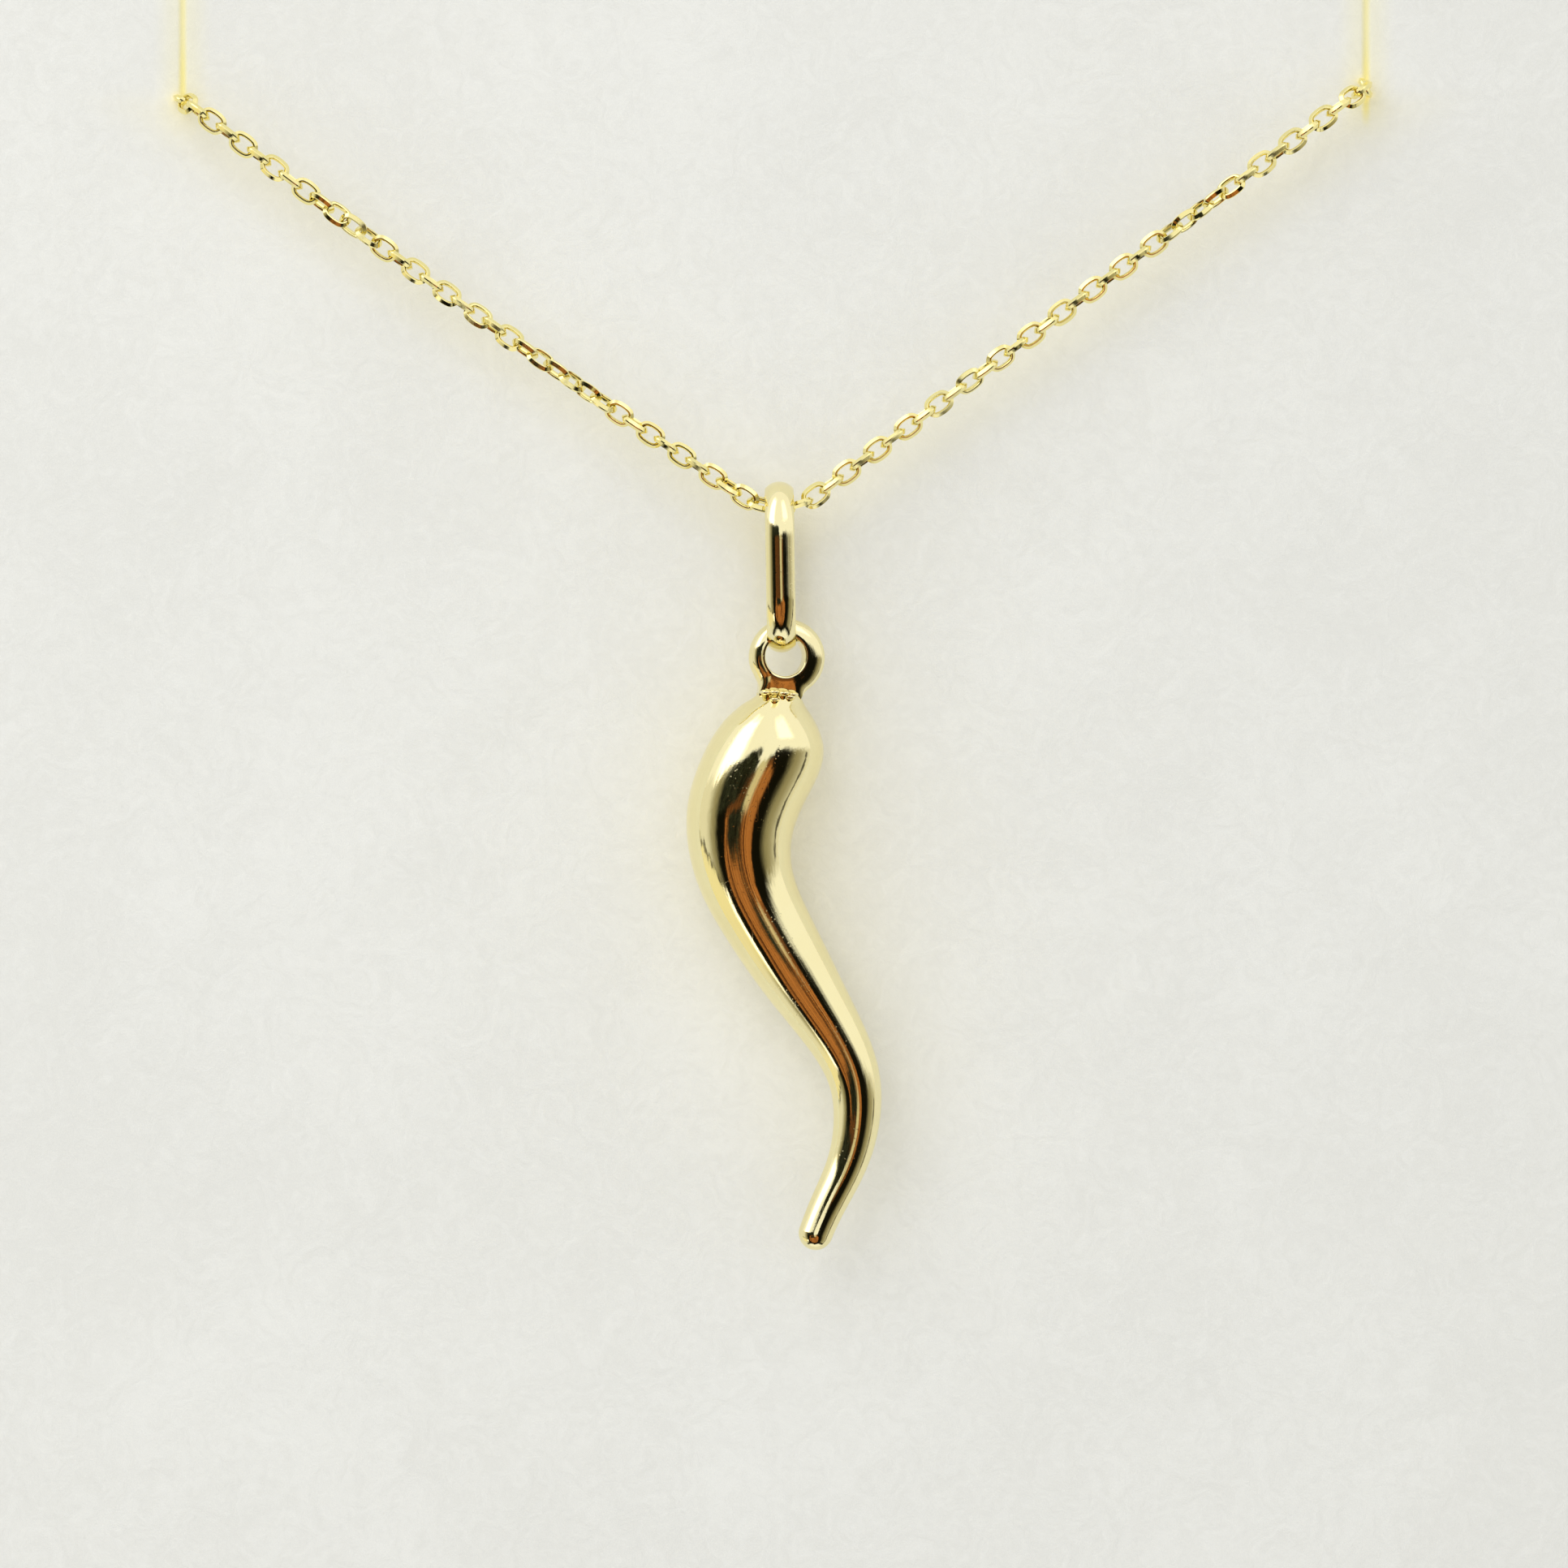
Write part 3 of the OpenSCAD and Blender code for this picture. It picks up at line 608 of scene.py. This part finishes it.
def smooth(knots, values, at):
    """Natural cubic spline through values at knots: second slopes from the usual three-term equations."""
    h = np.diff(knots)
    n = len(knots)
    a, b = np.eye(n), np.zeros((n,) + values.shape[1:])
    i = np.arange(1, n - 1)
    a[i, i - 1], a[i, i], a[i, i + 1] = h[:-1], 2 * (h[:-1] + h[1:]), h[1:]
    slope = np.diff(values, axis=0) / h[:, None]
    b[1:-1] = 6 * np.diff(slope, axis=0)
    m = np.linalg.solve(a, b)
    j = np.clip(np.searchsorted(knots, at) - 1, 0, n - 2)
    left, right, step = (at - knots[j])[:, None], (knots[j + 1] - at)[:, None], h[j][:, None]
    bent = (m[j] * right ** 3 + m[j + 1] * left ** 3) / (6 * step)
    from_left = (values[j] / step - m[j] * step / 6) * right
    return bent + from_left + (values[j + 1] / step - m[j + 1] * step / 6) * left


# Sections down the horn: sideways place and height of the middle, half width, tilt in degrees
horn_rows = np.array([
    [0.22, -42.22, 1.04, 0.0],
    [0.12, -42.46, 1.25, 1.0],
    [0.02, -42.72, 1.50, 3.0],
    [0.02, -43.04, 1.80, 6.0],
    [0.08, -43.60, 2.22, 12.0],
    [0.04, -44.20, 2.55, 18.0],
    [-0.27, -45.00, 2.73, 24.0],
    [-0.72, -45.80, 2.78, 26.0],
    [-1.20, -46.80, 2.76, 22.0],
    [-1.60, -48.00, 2.72, 11.5],
    [-1.72, -49.20, 2.60, 0.0],
    [-1.60, -50.40, 2.46, -11.0],
    [-1.28, -51.60, 2.30, -20.0],
    [-0.74, -52.80, 2.16, -26.5],
    [-0.08, -54.00, 2.06, -30.0],
    [1.00, -55.80, 1.90, -32.0],
    [2.14, -57.60, 1.66, -32.5],
    [3.24, -59.40, 1.44, -28.0],
    [3.96, -61.20, 1.28, -15.0],
    [4.08, -63.00, 1.16, 1.0],
    [3.56, -65.40, 1.00, 18.0],
    [2.42, -67.80, 0.88, 26.0],
    [1.95, -68.96, 0.84, 26.0]])
depth_share, horn_sides, tip_rings, even_out, curl = 0.95, 96, 14, 0.35, 0.012
stride = np.concatenate([[0], np.cumsum(np.linalg.norm(np.diff(horn_rows[:, :2], axis=0), axis=1))])
at = np.linspace(0, stride[-1], 340)
line = smooth(stride, horn_rows, at)
weight = np.exp(-0.5 * ((at[:, None] - at[None, :]) / (even_out * np.clip(at / 3, 0.05, 1))[:, None]) ** 2)
line = weight @ line / weight.sum(1, keepdims=True)
tilt = np.radians(line[:, 3])
ahead = np.stack([-np.sin(tilt), -np.cos(tilt)], -1)
tip_turn = np.linspace(0, np.pi / 2, tip_rings + 1)[1:-1]
centre = np.concatenate([line[:, :2], line[-1, :2] + ahead[-1] * line[-1, 2] * np.sin(tip_turn)[:, None]])
radius = np.concatenate([line[:, 2], line[-1, 2] * np.cos(tip_turn)])
ahead = np.concatenate([ahead, np.repeat(ahead[-1:], len(tip_turn), 0)])
v = np.linspace(0, 2 * np.pi, horn_sides, endpoint=False)[None, :]
across = radius[:, None] * np.cos(v)
centre_y = pendant_y - curl * np.clip(-61.5 - centre[:, 1:], 0, None) ** 2
body_points = np.stack([centre[:, :1] - ahead[:, 1:] * across,
                        centre_y + depth_share * radius[:, None] * np.sin(v),
                        centre[:, 1:] + ahead[:, :1] * across], -1).reshape(-1, 3)
rings = len(centre)
tip = line[-1, :2] + ahead[-1] * line[-1, 2]
ends = np.array([[centre[0, 0], pendant_y, centre[0, 1]], [tip[0], centre_y[-1, 0], tip[1]]])
k = np.arange(horn_sides)
top_fan = np.stack([k, (k + 1) % horn_sides, np.full(horn_sides, rings * horn_sides)], -1)
tip_fan = np.stack([k, (k + 1) % horn_sides, np.full(horn_sides, rings * horn_sides + 1)], -1)
tip_fan[:, :2] += (rings - 1) * horn_sides
horn_points = [np.concatenate([body_points, ends])]
horn_faces = [grid_faces(rings, horn_sides, False).tolist() + top_fan.tolist() + tip_fan.tolist()]
# Loop and neck: a domed disc with a drilled hole. By the angle from straight down, its outer edge runs
# from a circle into the neck, where the dome flattens
turned_by = np.linspace(-np.pi, np.pi, 240, endpoint=False)[:, None]
outer = np.interp(np.degrees(turned_by[:, 0]),
                  [-180, -78, -62, -50, -46, -43, -40, -36, -30, -20, -10, 10, 15, 19, 22, 26, 34, 180],
                  [1.89, 1.88, 1.84, 1.89, 1.95, 2.04, 2.2, 2.45, 2.45, 2.3, 2.2, 2.2, 2.25, 2.12, 2.0,
                   1.93, 1.89, 1.89])
kernel = np.exp(-0.5 * (np.arange(-6, 7) / 1.5) ** 2)
outer = np.convolve(np.concatenate([outer[-6:], outer, outer[:6]]), kernel / kernel.sum(), "valid")[:, None]
deg = np.degrees(turned_by)
to_neck = np.clip((deg + 52) / 14, 0, 1) * np.clip((34 - deg) / 14, 0, 1)
to_neck = to_neck * to_neck * (3 - 2 * to_neck)
bend = np.linspace(0, np.pi / 2, 7)
dome_turn = np.linspace(0, np.pi / 2, 22)[3:]
share = np.concatenate([0.08 * (1 - np.cos(bend)), np.sin(dome_turn) ** 0.833])
domed = np.concatenate([1 - fillet / (loop_deep / 2) * (1 - np.sin(bend)), np.cos(dome_turn) ** dome_power])
flat = np.where(share < 0.08, domed, 1 - neck_dome * share ** 2)
share, domed, flat = [np.concatenate([half, side * half[::-1][1:]])
                      for half, side in ((share, 1), (domed, -1), (flat, -1))]
# The loop is rounder at its top and left than at its lower right
rounder = np.maximum(np.clip(-np.sin(turned_by), 0, 1), np.clip(-np.cos(turned_by), 0, 1))
domed = np.sign(domed) * np.abs(domed) ** (1 + 0.5 * rounder)
deep = -loop_deep / 2 * (domed * (1 - to_neck) + flat * to_neck)
r = loop_in + (outer - loop_in) * share
yaw = math.radians(loop_yaw) * (1 - neck_turn * to_neck)
flat_x = rim_off_x * share + r * np.sin(turned_by)
loop = np.stack([loop_x + flat_x * np.cos(yaw) - deep * np.sin(yaw),
                 pendant_y + deep * np.cos(yaw) + flat_x * np.sin(yaw),
                 loop_z + rim_off_z * share - r * np.cos(turned_by)], -1)
horn_points.append(loop.reshape(-1, 3))
horn_faces.append(grid_faces(len(outer), len(share), True).tolist())
# Solder: the bead that fills the corner between the neck and the horn's shoulder, and its small lumps
bead_turn = np.linspace(0, 2 * np.pi, 140, endpoint=False)[:, None]
v = np.linspace(0, 2 * np.pi, 20, endpoint=False)[None, :]
lumps = 1 + 0.22 * np.sin(5 * bead_turn + 0.6) + 0.16 * np.sin(11 * bead_turn + 2)
lumps = lumps + 0.1 * np.sin(23 * bead_turn)
bead_r = bead_wire * lumps
ring_x, ring_y = bead_half_w + bead_r * np.cos(v), bead_half_d + bead_r * np.cos(v)
ring_z = bead_z + 0.05 * np.sin(3 * bead_turn + 1) + 0.8 * bead_r * np.sin(v)
bead = np.stack([bead_x + ring_x * np.cos(bead_turn), pendant_y + ring_y * np.sin(bead_turn), ring_z], -1)
horn_points.append(bead.reshape(-1, 3))
horn_faces.append(grid_faces(140, 20, True).tolist())
u = np.linspace(0.05, np.pi - 0.05, 12)[:, None]
for lump_x, lump_y, lump_z, lump_r in (
        (-0.42, 0.80, -42.14, 0.3), (0.02, 0.86, -42.12, 0.3), (0.48, 0.86, -42.18, 0.32),
        (0.92, 0.76, -42.24, 0.28), (0.02, 1.12, -42.48, 0.26), (0.78, 0.80, -42.36, 0.3)):
    lump = np.stack([lump_x + lump_r * np.sin(u) * np.cos(v),
                     pendant_y - lump_y + 1.3 * lump_r * np.sin(u) * np.sin(v),
                     lump_z + 0.5 * lump_r * np.cos(u) * np.ones_like(v)], -1)
    horn_points.append(lump.reshape(-1, 3))
    caps = [list(range(20)), list(range(11 * 20 + 19, 11 * 20 - 1, -1))]
    horn_faces.append(grid_faces(12, 20, False).tolist() + caps)
all_faces, offset = [], 0
for points, faces in zip(horn_points, horn_faces):
    all_faces += [[c + offset for c in f] for f in faces]
    offset += len(points)
horn = make_piece("polished_horn", np.concatenate(horn_points), all_faces, "horn", ["horn"], 60.0)
horn.data.materials.append(pendant_gold)
